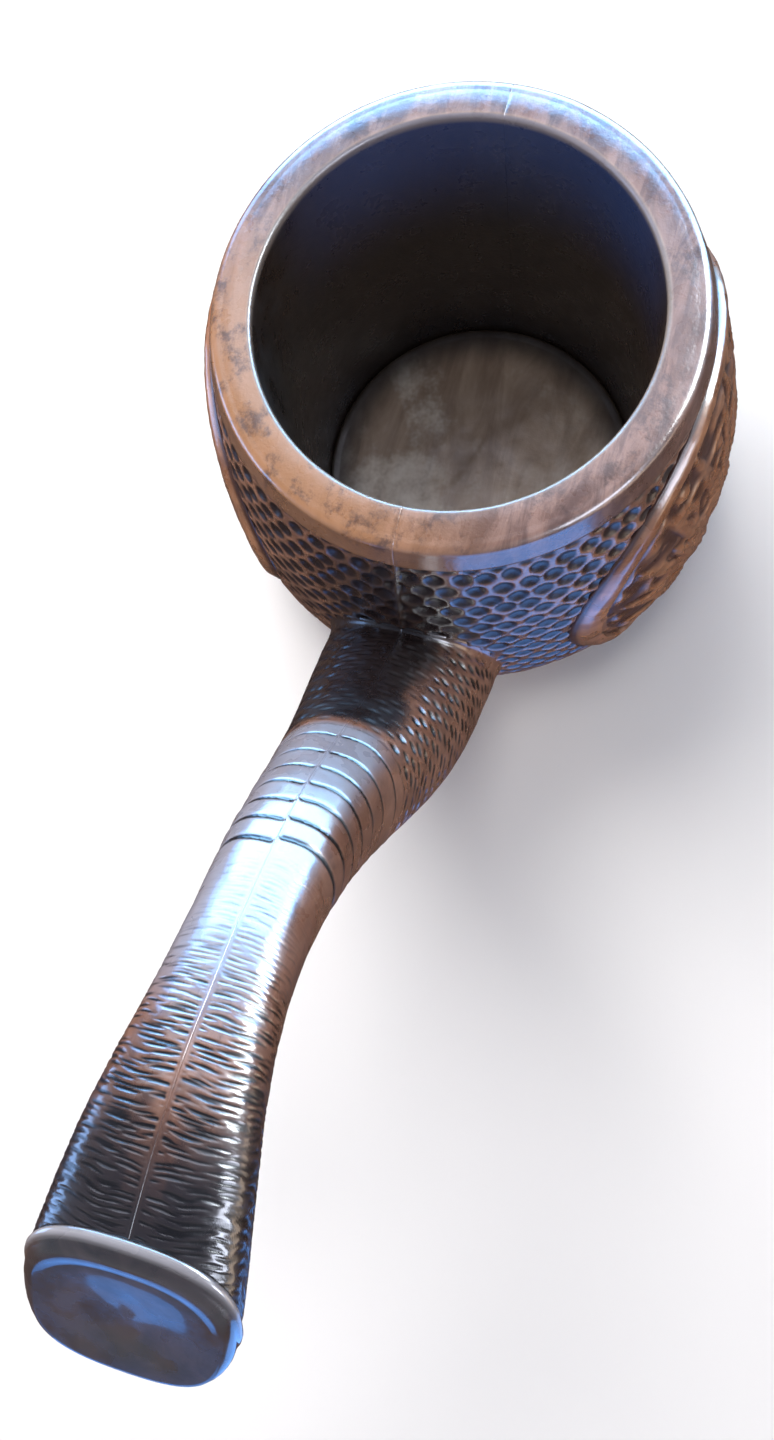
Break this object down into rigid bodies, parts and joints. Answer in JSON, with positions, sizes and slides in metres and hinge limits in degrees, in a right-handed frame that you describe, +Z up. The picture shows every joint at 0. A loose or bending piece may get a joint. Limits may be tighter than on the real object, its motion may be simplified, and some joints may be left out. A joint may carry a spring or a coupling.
{
  "type": "drinking cup",
  "caption": "Barrel-shaped dark wooden drinking cup with a raised, curved handle, a smooth rim band, gouged walls and round carved side medallions.",
  "frame": {"origin": "centre of the flat base, on the surface that the cup stands on", "axes": "+Z up, +X along the handle away from the bowl, +Y to the right of a user who holds the handle with the bowl ahead; the joint between the halves is the plane y = 0"},
  "size_m": [0.2209, 0.1082, 0.1367],
  "materials": {
    "bowl": "dark stain under gloss lacquer, worn lighter on the rim band",
    "floor": "dark stain, satin, smudged",
    "medallion": "brown stain under gloss lacquer",
    "handle": "dark stain under gloss lacquer",
    "end_cap": "near black, polished",
    "inner_wood": "bare beech"
  },
  "bodies": {
    "root": {"bowl_half_right": "bowl", "bowl_half_left": "bowl", "bowl_floor": "floor", "bowl_dowels": "inner_wood", "medallion_right": "medallion", "medallion_left": "medallion", "handle_half_right": "handle", "handle_half_left": "handle", "handle_tenon": "inner_wood", "handle_dowels": "inner_wood", "handle_end_cap": "end_cap"}
  },
  "joints": []
}
